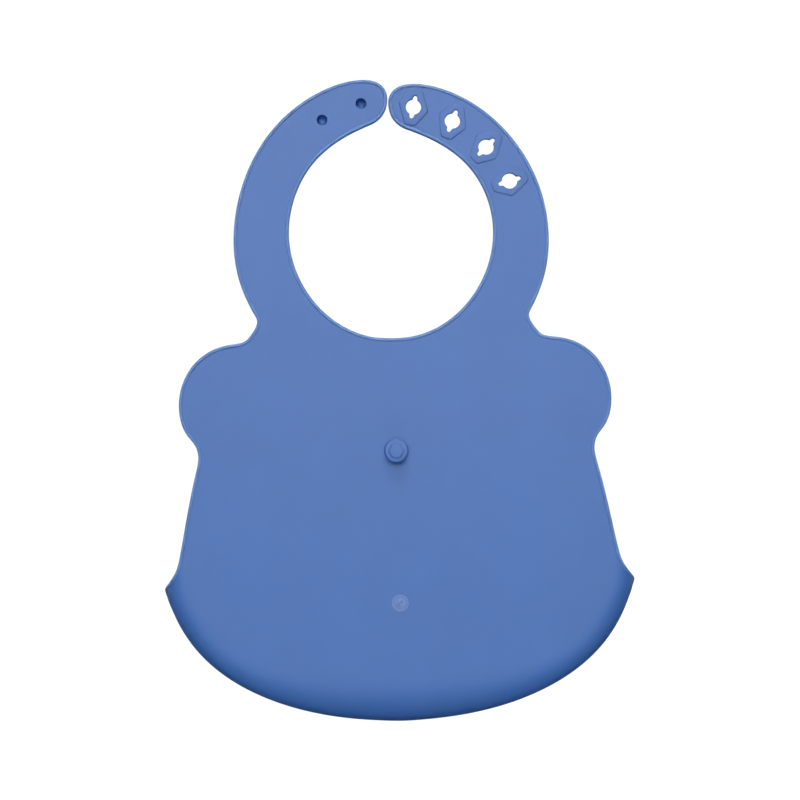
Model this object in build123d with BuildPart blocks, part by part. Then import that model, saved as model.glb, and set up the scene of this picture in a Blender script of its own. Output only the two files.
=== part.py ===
from build123d import *
import math
import os

os.makedirs("parts", exist_ok=True)

# ---------------------------------------------------------------- dimensions
# Millimetres.  +Z up, +Y towards the wearer (the back face of the bib), -Y the
# front.  +X is the wearer's left.  Origin: the centre of the neck opening, in
# the middle of the sheet's thickness.
SHEET = 2.2                  # thickness of the moulded sheet
HALF = SHEET / 2
TIP_GAP = 0.4                # gap between the two strap tips

# outline of the +X half, from the neck side of the strap tip to the pocket
STRAP_AND_SIDE = [
    (10.47, 48.31), (7.60, 49.45), (5.30, 50.80), (3.55, 52.30),
    (2.15, 54.10), (1.15, 56.20), (0.50, 58.60), (TIP_GAP / 2, 61.00),
    (0.40, 63.20), (1.10, 65.30), (2.50, 67.20), (4.84, 68.92),
    (8.51, 70.02), (12.47, 70.24),
    (18.42, 69.60), (26.14, 67.43), (33.49, 64.25), (40.39, 60.21),
    (46.78, 55.42), (52.58, 49.95), (57.76, 43.89), (62.28, 37.31),
    (66.11, 30.30), (69.21, 22.93), (71.57, 15.29), (73.13, 7.45),
    (73.88, -0.51), (73.78, -8.50), (72.76, -16.40), (70.77, -24.11),
    (67.80, -31.53), (65.50, -36.20), (64.30, -38.40), (63.75, -40.20),
    (64.25, -42.40), (65.60, -44.90), (67.30, -47.20), (68.90, -48.95),
    (71.00, -50.00), (74.06, -50.60), (79.93, -51.52), (85.58, -53.49),
    (90.70, -56.70), (94.99, -60.92), (98.23, -65.92), (100.38, -71.46),
    (101.41, -77.34), (101.27, -83.32), (99.89, -89.17), (98.05, -92.76),
    (95.90, -95.60), (94.30, -97.90), (93.35, -100.40), (92.97, -102.95),
    (93.33, -106.78), (94.29, -110.71), (96.25, -118.54), (98.40, -128.25),
    (100.00, -136.04), (101.55, -143.90), (103.22, -151.74),
    (104.23, -155.58), (106.07, -159.32), (108.78, -163.02),
    (110.34, -165.46), (110.95, -167.64),
]
# lower outline of the pocket, +X half, from the cusp to the bottom centre
POCKET_RIM = [
    (110.95, -167.64), (110.44, -170.27), (109.36, -173.22),
    (106.29, -180.59), (102.45, -187.81), (97.81, -194.53),
    (92.45, -200.59), (86.49, -206.00), (80.02, -210.81), (73.12, -215.06),
    (65.88, -218.77), (58.39, -221.99), (50.75, -224.72), (42.97, -226.99),
    (35.09, -228.85), (27.09, -230.29), (19.01, -231.36), (10.85, -232.09),
    (0.00, -232.60),
]
# the pocket wall carried on above the cusp, where the mouth cuts it away
POCKET_ABOVE = [(118.0, -136.0), (116.2, -144.0), (114.3, -152.0), (112.5, -160.0)]
# neck opening, +X half
NECK = [
    (10.47, 48.31), (17.81, 45.08), (24.84, 41.16),
    (31.28, 36.45), (36.87, 30.83), (41.40, 24.32), (44.79, 17.10),
    (46.98, 9.41), (47.90, 1.46), (47.73, -4.53), (46.36, -12.40),
    (43.77, -19.97), (40.07, -27.06), (35.35, -33.49), (29.72, -39.10),
    (23.27, -43.70), (16.11, -47.10), (8.33, -49.15), (0.00, -49.68),
]

# living-hinge bands
ROOT_TOP, ROOT_BOTTOM = -1.0, -9.0          # strap roots
WAIST_TOP, WAIST_BOTTOM = -133.0, -143.0    # fold across the bib
MID_ANGLE = 50.1                            # strap tip band, from +X about the neck centre
MID_BAND = 4.0
LOBE_IN = (68.50, -48.50)                   # chord of the shoulder lobe, upper end
LOBE_OUT = (93.10, -101.50)                 # lower end
LOBE_BAND = 5.0

# pocket
ROLL_SIDE = 12.4             # depth of the rolled edge at the cusps
ROLL_BOTTOM = 21.8           # depth of the rolled edge at the bottom centre
ROLL_POWER = 2.6             # 2 is a quarter circle, more is squarer
LIP_Z = -173.0               # height of the lip at the centre
FRONT = [                    # depth of the front wall at the centre, by height
    (-135.0, 48.0), (-155.0, 48.4), (-173.0, 48.0), (-187.0, 46.4),
    (-202.0, 42.6), (-215.0, 37.2), (-223.0, 32.0), (-229.5, 26.2),
    (-232.6, 22.0),
]
MOUTH = [                    # (y, z) of the free edge of the pocket
    (3.0, -146.5), (1.1, -150.0), (0.4, -155.4), (-2.0, -161.4),
    (-5.6, -165.2), (-8.4, -167.4), (-14.0, -169.8), (-25.0, -172.0),
    (-38.0, LIP_Z), (-70.0, LIP_Z),
]
FLAT_EDGE = [                # where the flat back starts to roll, +X half
    (102.30, -148.00), (100.60, -156.00), (97.90, -167.80), (93.40, -178.60),
    (86.00, -189.30), (75.60, -197.80), (60.00, -205.10), (40.00, -209.30),
    (20.00, -210.60), (0.00, -210.80),
]
SECTIONS = [-140.0, -152.0, -167.0, -181.0, -196.0, -207.5, -217.0, -224.5, -229.3, -232.1]
SECTIONS_IN = [-138.0, -150.0, -166.0, -180.0, -194.5, -205.5, -215.0, -222.2, -226.8, -229.8]
LIP_HALF = 60.0              # half width of the moving lip
LIP_LOW = -195.0             # lower edge of the moving lip
LIP_SIDE_BAND = 10.0
LIP_LOW_BAND = 6.0
END_X = 72.0                 # the pocket ends start here
ROLL_FRONT = -22.0           # the rolled bottom ends and the front wall starts

# studs (hollow mushroom snaps on the front of the +X strap)
STUDS = [(31.0, 53.3), (12.6, 60.6)]
STUD_NECK_R = 3.4
STUD_HEAD_R = 5.0
STUD_NECK_L = 3.4
STUD_HEAD_L = 2.8
STUD_SOCKET_R = 2.4
STUD_SOCKET_L = 4.0          # depth of the hollow from the back face

# keyholes on the -X strap: x, z, angle of the notch axis from +Z towards -X
KEYHOLES = [
    (-12.0, 58.4, 13.0), (-30.1, 51.4, 22.5), (-45.6, 38.8, 46.0), (-56.2, 22.6, 73.5),
]
KEY_R = 3.62
KEY_NOTCH_W = 1.9
KEY_TIP = 5.35               # centre of the hole to the tip of a notch
PAD_H = 0.5
PAD = [(-2.3, 8.4), (2.3, 8.4), (7.0, 0.9), (2.3, -8.4), (-2.3, -8.4), (-7.0, -0.9)]

# roll-up button on the back, and the mould's date dial
BUTTON_Z = -102.4
BUTTON_STEM_R = 3.4
BUTTON_STEM_L = 3.0
BUTTON_HEAD_R = 5.6
BUTTON_HEAD_L = 2.6
BUTTON_HEX_R = 3.4
BUTTON_HEX_H = 0.4
DIAL_Z = -174.1
DIAL_R = 3.95
DIAL_H = 0.3


# ------------------------------------------------------------------- helpers
def flip(points, side):
    return [(side * x, z) for x, z in points]


def plate(corners):
    """The part of the flat sheet inside a polygon, at full thickness."""
    with BuildPart() as piece:
        with BuildSketch(Plane.XZ):
            add(bib_outline.sketch_local)
            with BuildLine():
                Polyline(*corners, close=True)
            make_face(mode=Mode.INTERSECT)
        extrude(amount=HALF, both=True)
    return piece.part


def table(rows, at):
    """Straight-line reading of a two-column table."""
    rows = sorted(rows)
    if at <= rows[0][0]:
        return rows[0][1]
    for (a, va), (b, vb) in zip(rows, rows[1:]):
        if at <= b:
            return va + (vb - va) * (at - a) / (b - a)
    return rows[-1][1]


def rim_line(inset):
    """The pocket's rim, +X half then -X half, moved inwards by inset."""
    pts = POCKET_ABOVE + POCKET_RIM
    out = []
    for i, (x, z) in enumerate(pts):
        ax, az = pts[max(i - 1, 0)]
        bx, bz = pts[min(i + 1, len(pts) - 1)]
        if i == len(pts) - 1:
            ax, az, bx, bz = 1.0, 0.0, 0.0, 0.0
        dx, dz = bx - ax, bz - az
        n = math.hypot(dx, dz)
        out.append((x + inset * dz / n, z - inset * dx / n))
    return out


def rim_half_width(rim, z):
    for (ax, az), (bx, bz) in zip(rim, rim[1:]):
        if bz <= z <= az:
            return ax + (bx - ax) * (z - az) / (bz - az)
    return 0.0


def rim_distance(rim, x, z):
    """Distance from a point to the rim, and how far along it the foot lies."""
    best, foot = 1e9, 0.0
    x = abs(x)
    for (ax, az), (bx, bz) in zip(rim, rim[1:]):
        dx, dz = bx - ax, bz - az
        t = max(0.0, min(1.0, ((x - ax) * dx + (z - az) * dz) / (dx * dx + dz * dz)))
        fx, fz = ax + t * dx, az + t * dz
        d = math.hypot(x - fx, z - fz)
        if d < best:
            best, foot = d, fx
    return best, foot


def roll_depth(foot, shrink):
    """Depth of the rolled edge by the foot's distance from the centre line."""
    t = min(1.0, abs(foot) / 100.0)
    t = t * t * (3 - 2 * t)
    return ROLL_BOTTOM + (ROLL_SIDE - ROLL_BOTTOM) * t - shrink


def section(z, inset):
    """Back and front curves of the pocket at one height, as (x, y) points."""
    rim = rim_line(inset)
    w = rim_half_width(rim, z)
    top = HALF - inset
    edge = HALF - inset - roll_depth(w, inset)
    back, front = [], []
    for k in range(-10, 11):
        x = w * math.sin(math.pi / 2 * k / 10)
        d, foot = rim_distance(rim, x, z)
        r = roll_depth(foot, inset)
        if abs(k) == 10:
            y = edge
        elif d >= r:
            y = top
        else:
            y = top - r * (1 - max(0.0, 1 - ((r - d) / r) ** ROLL_POWER) ** (1 / ROLL_POWER))
        back.append((x, y))
        deep = -(table(FRONT, z) - inset)
        f = math.sqrt(max(0.0, 1 - abs(x / w) ** 2.4))
        front.append((x, edge + (deep - edge) * f))
    return back, front


def pocket_block(levels, inset):
    """Solid body bounded by the pocket's outer (or inner) surface."""
    with BuildPart() as block:
        for z in levels:
            back, front = section(z, inset)
            with BuildSketch(Plane.XY.offset(z)):
                with BuildLine():
                    Spline(*back)
                    Spline(*front)
                make_face()
        loft()
    return block.part


# the whole flat outline, straps included
with BuildSketch() as bib_outline:
    with BuildLine():
        Spline(*(STRAP_AND_SIDE + POCKET_RIM[1:]))
        Spline(*flip(STRAP_AND_SIDE + POCKET_RIM[1:], -1))
        Spline(*NECK)
        Spline(*flip(NECK, -1))
    make_face()


# ---------------------------------------------------------------- chest panel
def lobe_zone(side, near, far):
    """Quadrilateral beside the lobe's chord, from near to far outwards."""
    dx, dz = LOBE_OUT[0] - LOBE_IN[0], LOBE_OUT[1] - LOBE_IN[1]
    n = math.hypot(dx, dz)
    dx, dz = dx / n, dz / n
    nx, nz = -dz, dx
    corners = []
    for along, out in ((-3.0, near), (n + 4.0, near), (n + 4.0, far), (-3.0, far)):
        corners.append((LOBE_IN[0] + dx * along + nx * out, LOBE_IN[1] + dz * along + nz * out))
    return flip(corners, side)


with BuildPart() as chest_panel:
    with BuildSketch(Plane.XZ):
        add(bib_outline.sketch_local)
        with Locations((0, (ROOT_BOTTOM + WAIST_TOP) / 2)):
            Rectangle(300, ROOT_BOTTOM - WAIST_TOP, mode=Mode.INTERSECT)
        with BuildLine():
            Polyline(*lobe_zone(1, 0, 45), close=True)
        make_face(mode=Mode.SUBTRACT)
        with BuildLine():
            Polyline(*lobe_zone(-1, 0, 45), close=True)
        make_face(mode=Mode.SUBTRACT)
    extrude(amount=HALF, both=True)
chest_panel.part.label = "chest_panel"
export_step(chest_panel.part, "parts/chest_panel.step")


# ------------------------------------------------------------- shoulder lobes
with BuildPart() as left_lobe_flex:
    add(plate(lobe_zone(1, 0, LOBE_BAND)))
left_lobe_flex.part.label = "left_lobe_flex"
export_step(left_lobe_flex.part, "parts/left_lobe_flex.step")

with BuildPart() as left_lobe:
    add(plate(lobe_zone(1, LOBE_BAND, 45)))
left_lobe.part.label = "left_lobe"
export_step(left_lobe.part, "parts/left_lobe.step")

with BuildPart() as right_lobe_flex:
    add(plate(lobe_zone(-1, 0, LOBE_BAND)))
right_lobe_flex.part.label = "right_lobe_flex"
export_step(right_lobe_flex.part, "parts/right_lobe_flex.step")

with BuildPart() as right_lobe:
    add(plate(lobe_zone(-1, LOBE_BAND, 45)))
right_lobe.part.label = "right_lobe"
export_step(right_lobe.part, "parts/right_lobe.step")


# --------------------------------------------------------------------- straps
def on_ray(radius, across):
    """A point at a radius on the tip band's ray, shifted across it."""
    c, s = math.cos(math.radians(MID_ANGLE)), math.sin(math.radians(MID_ANGLE))
    return (radius * c - across * s, radius * s + across * c)


ROOT_ZONE = [(40, ROOT_BOTTOM), (95, ROOT_BOTTOM), (95, ROOT_TOP), (40, ROOT_TOP)]
LOWER_ZONE = [(30, ROOT_TOP), (95, ROOT_TOP), on_ray(105, -MID_BAND / 2), on_ray(30, -MID_BAND / 2)]
MID_ZONE = [on_ray(30, -MID_BAND / 2), on_ray(105, -MID_BAND / 2), on_ray(105, MID_BAND / 2), on_ray(30, MID_BAND / 2)]
TIP_ZONE = [on_ray(30, MID_BAND / 2), on_ray(105, MID_BAND / 2), (30, 95), (0, 95), (0, 30)]

with BuildPart() as stud_strap_flex:
    add(plate(flip(ROOT_ZONE, 1)))
stud_strap_flex.part.label = "stud_strap_flex"
export_step(stud_strap_flex.part, "parts/stud_strap_flex.step")

with BuildPart() as stud_strap_lower:
    add(plate(flip(LOWER_ZONE, 1)))
stud_strap_lower.part.label = "stud_strap_lower"
export_step(stud_strap_lower.part, "parts/stud_strap_lower.step")

with BuildPart() as stud_strap_mid_flex:
    add(plate(flip(MID_ZONE, 1)))
stud_strap_mid_flex.part.label = "stud_strap_mid_flex"
export_step(stud_strap_mid_flex.part, "parts/stud_strap_mid_flex.step")

with BuildPart() as stud_strap_tip:
    add(plate(flip(TIP_ZONE, 1)))
    with BuildSketch(Plane.XZ):
        with Locations(*STUDS):
            Circle(STUD_SOCKET_R)
    extrude(amount=HALF, both=True, mode=Mode.SUBTRACT)
stud_strap_tip.part.label = "stud_strap_tip"
export_step(stud_strap_tip.part, "parts/stud_strap_tip.step")

with BuildPart() as keyhole_strap_flex:
    add(plate(flip(ROOT_ZONE, -1)))
keyhole_strap_flex.part.label = "keyhole_strap_flex"
export_step(keyhole_strap_flex.part, "parts/keyhole_strap_flex.step")


def keyhole(x, z, tilt):
    """A round hole with a notch at each end of the tilted axis."""
    a = math.radians(tilt)
    reach = KEY_TIP - KEY_NOTCH_W / 2
    with BuildSketch() as hole:
        with Locations((x, z)):
            Circle(KEY_R)
            Rectangle(KEY_NOTCH_W, 2 * reach, rotation=tilt)
        with Locations((x - reach * math.sin(a), z + reach * math.cos(a)),
                       (x + reach * math.sin(a), z - reach * math.cos(a))):
            Circle(KEY_NOTCH_W / 2)
    return hole.sketch_local


with BuildPart() as keyhole_strap_lower:
    add(plate(flip(LOWER_ZONE, -1)))
    with BuildSketch(Plane.XZ):
        add(keyhole(*KEYHOLES[2]))
        add(keyhole(*KEYHOLES[3]))
    extrude(amount=HALF, both=True, mode=Mode.SUBTRACT)
keyhole_strap_lower.part.label = "keyhole_strap_lower"
export_step(keyhole_strap_lower.part, "parts/keyhole_strap_lower.step")

with BuildPart() as keyhole_strap_mid_flex:
    add(plate(flip(MID_ZONE, -1)))
keyhole_strap_mid_flex.part.label = "keyhole_strap_mid_flex"
export_step(keyhole_strap_mid_flex.part, "parts/keyhole_strap_mid_flex.step")

with BuildPart() as keyhole_strap_tip:
    add(plate(flip(TIP_ZONE, -1)))
    with BuildSketch(Plane.XZ):
        add(keyhole(*KEYHOLES[0]))
        add(keyhole(*KEYHOLES[1]))
    extrude(amount=HALF, both=True, mode=Mode.SUBTRACT)
keyhole_strap_tip.part.label = "keyhole_strap_tip"
export_step(keyhole_strap_tip.part, "parts/keyhole_strap_tip.step")


# ----------------------------------------------------------------- snap studs
def stud(x, z):
    """A hollow mushroom stud standing on the front face."""
    y0 = -HALF
    y1 = y0 - STUD_NECK_L
    y2 = y1 - STUD_HEAD_L
    with BuildPart() as body:
        with BuildSketch(Plane.XY.offset(z)):
            with BuildLine():
                Polyline((x, HALF - STUD_SOCKET_L), (x + STUD_SOCKET_R, HALF - STUD_SOCKET_L),
                         (x + STUD_SOCKET_R, y0), (x + STUD_NECK_R, y0), (x + STUD_NECK_R, y1),
                         (x + STUD_HEAD_R, y1), (x + STUD_HEAD_R, y1 - 0.8))
                Spline((x + STUD_HEAD_R, y1 - 0.8), (x + 3.6, y2 + 0.45), (x, y2),
                       tangents=((0, -1), (-1, 0)))
                Line((x, y2), (x, HALF - STUD_SOCKET_L))
            make_face()
        revolve(axis=Axis((x, 0, z), (0, 1, 0)))
    return body.part


with BuildPart() as stud_1:
    add(stud(*STUDS[0]))
stud_1.part.label = "stud_1"
export_step(stud_1.part, "parts/stud_1.step")

with BuildPart() as stud_2:
    add(stud(*STUDS[1]))
stud_2.part.label = "stud_2"
export_step(stud_2.part, "parts/stud_2.step")


# --------------------------------------------------------------- keyhole pads
def keyhole_pad(x, z, tilt):
    """Raised six-sided pad around a keyhole, on the back face."""
    a = math.radians(tilt)
    ring = [(x + u * math.cos(a) - v * math.sin(a), z + u * math.sin(a) + v * math.cos(a)) for u, v in PAD]
    with BuildPart() as pad:
        with BuildSketch(Plane.XZ.offset(-HALF)) as outline:
            with BuildLine():
                Polyline(*ring, close=True)
            make_face()
            fillet(outline.vertices(), 1.0)
            add(keyhole(x, z, tilt), mode=Mode.SUBTRACT)
        extrude(amount=-PAD_H)
    return pad.part


with BuildPart() as keyhole_pad_1:
    add(keyhole_pad(*KEYHOLES[0]))
keyhole_pad_1.part.label = "keyhole_pad_1"
export_step(keyhole_pad_1.part, "parts/keyhole_pad_1.step")

with BuildPart() as keyhole_pad_2:
    add(keyhole_pad(*KEYHOLES[1]))
keyhole_pad_2.part.label = "keyhole_pad_2"
export_step(keyhole_pad_2.part, "parts/keyhole_pad_2.step")

with BuildPart() as keyhole_pad_3:
    add(keyhole_pad(*KEYHOLES[2]))
keyhole_pad_3.part.label = "keyhole_pad_3"
export_step(keyhole_pad_3.part, "parts/keyhole_pad_3.step")

with BuildPart() as keyhole_pad_4:
    add(keyhole_pad(*KEYHOLES[3]))
keyhole_pad_4.part.label = "keyhole_pad_4"
export_step(keyhole_pad_4.part, "parts/keyhole_pad_4.step")

# ------------------------------------------------------------- roll-up button
with BuildPart() as roll_button_stem:
    with BuildSketch(Plane.XZ.offset(-HALF)):
        with Locations((0, BUTTON_Z)):
            Circle(BUTTON_STEM_R)
    extrude(amount=-BUTTON_STEM_L)
roll_button_stem.part.label = "roll_button_stem"
export_step(roll_button_stem.part, "parts/roll_button_stem.step")

with BuildPart() as roll_button_head:
    with BuildSketch(Plane.XZ.offset(-HALF - BUTTON_STEM_L)):
        with Locations((0, BUTTON_Z)):
            Circle(BUTTON_HEAD_R)
    extrude(amount=-BUTTON_HEAD_L)
    fillet(roll_button_head.edges().filter_by(GeomType.CIRCLE), 0.8)
roll_button_head.part.label = "roll_button_head"
export_step(roll_button_head.part, "parts/roll_button_head.step")

with BuildPart() as roll_button_hexagon:
    with BuildSketch(Plane.XZ.offset(-HALF - BUTTON_STEM_L - BUTTON_HEAD_L)):
        with Locations((0, BUTTON_Z)):
            RegularPolygon(BUTTON_HEX_R, 6)
    extrude(amount=-BUTTON_HEX_H)
roll_button_hexagon.part.label = "roll_button_hexagon"
export_step(roll_button_hexagon.part, "parts/roll_button_hexagon.step")

# ------------------------------------------------------------------ lower bib
with BuildPart() as waist_flex:
    with BuildSketch(Plane.XZ):
        add(bib_outline.sketch_local)
        with Locations((0, (WAIST_TOP + WAIST_BOTTOM) / 2)):
            Rectangle(300, WAIST_TOP - WAIST_BOTTOM, mode=Mode.INTERSECT)
    extrude(amount=HALF, both=True)
waist_flex.part.label = "waist_flex"
export_step(waist_flex.part, "parts/waist_flex.step")

with BuildPart() as lower_panel:
    with BuildSketch(Plane.XZ):
        add(bib_outline.sketch_local)
        with BuildLine():
            Spline(*FLAT_EDGE)
            Spline(*flip(FLAT_EDGE, -1))
            Polyline(FLAT_EDGE[0], (115.0, FLAT_EDGE[0][1]), (115.0, WAIST_BOTTOM),
                     (-115.0, WAIST_BOTTOM), (-115.0, FLAT_EDGE[0][1]),
                     (-FLAT_EDGE[0][0], FLAT_EDGE[0][1]))
        make_face(mode=Mode.INTERSECT)
    extrude(amount=HALF, both=True)
lower_panel.part.label = "lower_panel"
export_step(lower_panel.part, "parts/lower_panel.step")

with BuildPart() as date_dial:
    with BuildSketch(Plane.XZ.offset(-HALF)):
        with Locations((0, DIAL_Z)):
            Circle(DIAL_R)
    extrude(amount=-DIAL_H)
date_dial.part.label = "date_dial"
export_step(date_dial.part, "parts/date_dial.step")

# --------------------------------------------------------------------- pocket
LIP_TOP = LIP_Z + 8
LIP_BACK = -24.0             # the lip's cut lies in front of this plane

# the pocket's whole wall, open at the mouth, without the flat back
with BuildPart() as pocket_wall:
    add(pocket_block(SECTIONS, 0.0))
    add(pocket_block(SECTIONS_IN, SHEET), mode=Mode.SUBTRACT)
    with BuildSketch(Plane.YZ):
        with BuildLine():
            Spline(*MOUTH)
            Polyline(MOUTH[-1], (-70.0, -100.0), (3.0, -100.0), MOUTH[0])
        make_face()
    extrude(amount=150, both=True, mode=Mode.SUBTRACT)
    with BuildSketch(Plane.XZ):
        with BuildLine():
            Spline(*FLAT_EDGE)
            Spline(*flip(FLAT_EDGE, -1))
            Polyline(FLAT_EDGE[0], (FLAT_EDGE[0][0], -120.0), (-FLAT_EDGE[0][0], -120.0),
                     (-FLAT_EDGE[0][0], FLAT_EDGE[0][1]))
        make_face()
    extrude(amount=3.0, both=True, mode=Mode.SUBTRACT)

with BuildPart() as pocket_lip:
    add(pocket_wall.part)
    with Locations((0, LIP_BACK - 20, (LIP_TOP + LIP_LOW) / 2)):
        Box(2 * LIP_HALF, 40, LIP_TOP - LIP_LOW, mode=Mode.INTERSECT)
pocket_lip.part.label = "pocket_lip"
export_step(pocket_lip.part, "parts/pocket_lip.step")

with BuildPart() as pocket_lip_flex:
    add(pocket_wall.part)
    with Locations((0, LIP_BACK - 20, (LIP_TOP + LIP_LOW - LIP_LOW_BAND) / 2)):
        Box(2 * (LIP_HALF + LIP_SIDE_BAND), 40, LIP_TOP - LIP_LOW + LIP_LOW_BAND, mode=Mode.INTERSECT)
    with Locations((0, LIP_BACK - 20, (LIP_TOP + LIP_LOW) / 2)):
        Box(2 * LIP_HALF, 40, LIP_TOP - LIP_LOW, mode=Mode.SUBTRACT)
pocket_lip_flex.part.label = "pocket_lip_flex"
export_step(pocket_lip_flex.part, "parts/pocket_lip_flex.step")

with BuildPart() as pocket_roll:
    add(pocket_wall.part)
    with Locations((0, ROLL_FRONT + 20, -190)):
        Box(2 * END_X, 40, 120, mode=Mode.INTERSECT)
pocket_roll.part.label = "pocket_roll"
export_step(pocket_roll.part, "parts/pocket_roll.step")

with BuildPart() as pocket_front:
    add(pocket_wall.part)
    with Locations((0, ROLL_FRONT - 20, -190)):
        Box(2 * END_X, 40, 120, mode=Mode.INTERSECT)
    with Locations((0, LIP_BACK - 20, (LIP_TOP + LIP_LOW - LIP_LOW_BAND) / 2)):
        Box(2 * (LIP_HALF + LIP_SIDE_BAND), 40, LIP_TOP - LIP_LOW + LIP_LOW_BAND, mode=Mode.SUBTRACT)
pocket_front.part.label = "pocket_front"
export_step(pocket_front.part, "parts/pocket_front.step")

with BuildPart() as pocket_left_end:
    add(pocket_wall.part)
    with Locations((END_X + 30, -25, -190)):
        Box(60, 80, 120, mode=Mode.INTERSECT)
pocket_left_end.part.label = "pocket_left_end"
export_step(pocket_left_end.part, "parts/pocket_left_end.step")

with BuildPart() as pocket_right_end:
    add(pocket_wall.part)
    with Locations((-END_X - 30, -25, -190)):
        Box(60, 80, 120, mode=Mode.INTERSECT)
pocket_right_end.part.label = "pocket_right_end"
export_step(pocket_right_end.part, "parts/pocket_right_end.step")
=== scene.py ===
import math

import bpy
import numpy as np
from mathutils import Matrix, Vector
from mathutils.geometry import delaunay_2d_cdt


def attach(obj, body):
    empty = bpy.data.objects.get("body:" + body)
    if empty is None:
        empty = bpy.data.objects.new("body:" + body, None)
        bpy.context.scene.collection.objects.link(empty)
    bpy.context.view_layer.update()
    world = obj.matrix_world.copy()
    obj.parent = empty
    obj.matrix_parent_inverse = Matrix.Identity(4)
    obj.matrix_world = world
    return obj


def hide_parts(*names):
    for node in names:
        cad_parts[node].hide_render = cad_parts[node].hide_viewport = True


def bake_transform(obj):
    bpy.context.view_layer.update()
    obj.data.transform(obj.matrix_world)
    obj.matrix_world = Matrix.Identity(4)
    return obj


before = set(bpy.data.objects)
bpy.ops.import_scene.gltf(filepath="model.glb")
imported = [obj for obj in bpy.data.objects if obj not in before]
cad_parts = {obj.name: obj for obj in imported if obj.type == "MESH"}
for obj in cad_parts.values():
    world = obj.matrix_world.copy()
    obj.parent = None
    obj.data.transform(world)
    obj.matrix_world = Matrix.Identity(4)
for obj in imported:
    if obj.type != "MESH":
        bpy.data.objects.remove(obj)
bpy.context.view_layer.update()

# ---------------------------------------------------------------- dimensions
# Millimetres here, turned into metres when a mesh is made.  Same frame as the
# CAD: +Z up, +Y the back face, origin in the middle of the neck opening.
SHEET = 2.2
HALF = SHEET / 2
STRAP_AND_SIDE = [
    (10.47, 48.31), (7.60, 49.45), (5.30, 50.80), (3.55, 52.30),
    (2.15, 54.10), (1.15, 56.20), (0.50, 58.60), (0.20, 61.00),
    (0.40, 63.20), (1.10, 65.30), (2.50, 67.20), (4.84, 68.92),
    (8.51, 70.02), (12.47, 70.24),
    (18.42, 69.60), (26.14, 67.43), (33.49, 64.25), (40.39, 60.21),
    (46.78, 55.42), (52.58, 49.95), (57.76, 43.89), (62.28, 37.31),
    (66.11, 30.30), (69.21, 22.93), (71.57, 15.29), (73.13, 7.45),
    (73.88, -0.51), (73.78, -8.50), (72.76, -16.40), (70.77, -24.11),
    (67.80, -31.53), (65.50, -36.20), (64.30, -38.40), (63.75, -40.20),
    (64.25, -42.40), (65.60, -44.90), (67.30, -47.20), (68.90, -48.95),
    (71.00, -50.00), (74.06, -50.60), (79.93, -51.52), (85.58, -53.49),
    (90.70, -56.70), (94.99, -60.92), (98.23, -65.92), (100.38, -71.46),
    (101.41, -77.34), (101.27, -83.32), (99.89, -89.17), (98.05, -92.76),
    (95.90, -95.60), (94.30, -97.90), (93.35, -100.40), (92.97, -102.95),
    (93.33, -106.78), (94.29, -110.71), (96.25, -118.54), (98.40, -128.25),
    (100.00, -136.04), (101.55, -143.90), (103.22, -151.74),
    (104.23, -155.58), (106.07, -159.32), (108.78, -163.02),
    (110.34, -165.46), (110.95, -167.64),
]
POCKET_RIM = [
    (110.95, -167.64), (110.44, -170.27), (109.36, -173.22),
    (106.29, -180.59), (102.45, -187.81), (97.81, -194.53),
    (92.45, -200.59), (86.49, -206.00), (80.02, -210.81), (73.12, -215.06),
    (65.88, -218.77), (58.39, -221.99), (50.75, -224.72), (42.97, -226.99),
    (35.09, -228.85), (27.09, -230.29), (19.01, -231.36), (10.85, -232.09),
    (0.00, -232.60),
]
POCKET_ABOVE = [(118.0, -136.0), (116.2, -144.0), (114.3, -152.0), (112.5, -160.0)]
NECK = [
    (10.47, 48.31), (17.81, 45.08), (24.84, 41.16),
    (31.28, 36.45), (36.87, 30.83), (41.40, 24.32), (44.79, 17.10),
    (46.98, 9.41), (47.90, 1.46), (47.73, -4.53), (46.36, -12.40),
    (43.77, -19.97), (40.07, -27.06), (35.35, -33.49), (29.72, -39.10),
    (23.27, -43.70), (16.11, -47.10), (8.33, -49.15), (0.00, -49.68),
]
ROLL_SIDE, ROLL_BOTTOM = 12.4, 21.8
FRONT = [(-135.0, 48.0), (-155.0, 48.4), (-173.0, 48.0), (-187.0, 46.4), (-202.0, 42.6),
         (-215.0, 37.2), (-223.0, 32.0), (-229.5, 26.2), (-232.6, 22.0)]
MOUTH = [(-5.6, -165.2), (-8.4, -167.4), (-14.0, -169.8), (-25.0, -172.0), (-38.0, -173.0), (-70.0, -173.0)]
LOBE_IN, LOBE_OUT = (68.50, -48.50), (93.10, -101.50)
ROOT_SEAM = -9.6
WAIST_SEAM = -132.4
MID = math.radians(50.1)
MID_BAND = 4.0
STUDS = [(31.0, 53.3), (12.6, 60.6)]
KEYHOLES = [(-12.0, 58.4, 13.0), (-30.1, 51.4, 22.5), (-45.6, 38.8, 46.0), (-56.2, 22.6, 73.5)]
KEY_R, KEY_NOTCH, KEY_TIP = 3.62, 1.02, 5.5
PAD = [(-2.5, 8.7), (2.5, 8.7), (7.25, 0.9), (2.5, -8.7), (-2.5, -8.7), (-7.25, -0.9)]
PAD_H = 0.5
BEAD_IN, BEAD_W, BEAD_T = 0.88, 0.93, 1.52     # bead: centre in from the edge, half width, half height
PLATE_IN = 0.36                                # the sheet's own edge is inside the bead
BUTTON_Z, DIAL_Z = -102.4, -174.1
MM = 0.001


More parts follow.
